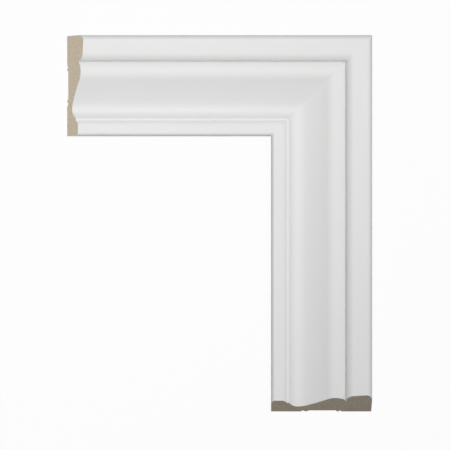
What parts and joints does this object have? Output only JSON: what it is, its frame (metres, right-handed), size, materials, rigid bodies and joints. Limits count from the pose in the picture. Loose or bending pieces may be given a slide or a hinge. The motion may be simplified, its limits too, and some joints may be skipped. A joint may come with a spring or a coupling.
{
  "type": "architrave moulding corner",
  "caption": "Mitred corner of white primed architrave moulding with an ovolo and cove face, a head length and a leg length, for trimming round a door opening.",
  "frame": {"origin": "on the back, in the middle of the corner's outer rectangle", "axes": "+Z out of the moulded face, +Y up the leg, +X along the head towards the mitre"},
  "size_m": [0.326, 0.4024, 0.0175],
  "materials": {
    "primed_mdf": "white primer on the face and edges, bare fibreboard on the sawn ends and back"
  },
  "bodies": {
    "root": {"head_architrave": "primed_mdf", "leg_architrave": "primed_mdf"}
  },
  "joints": []
}
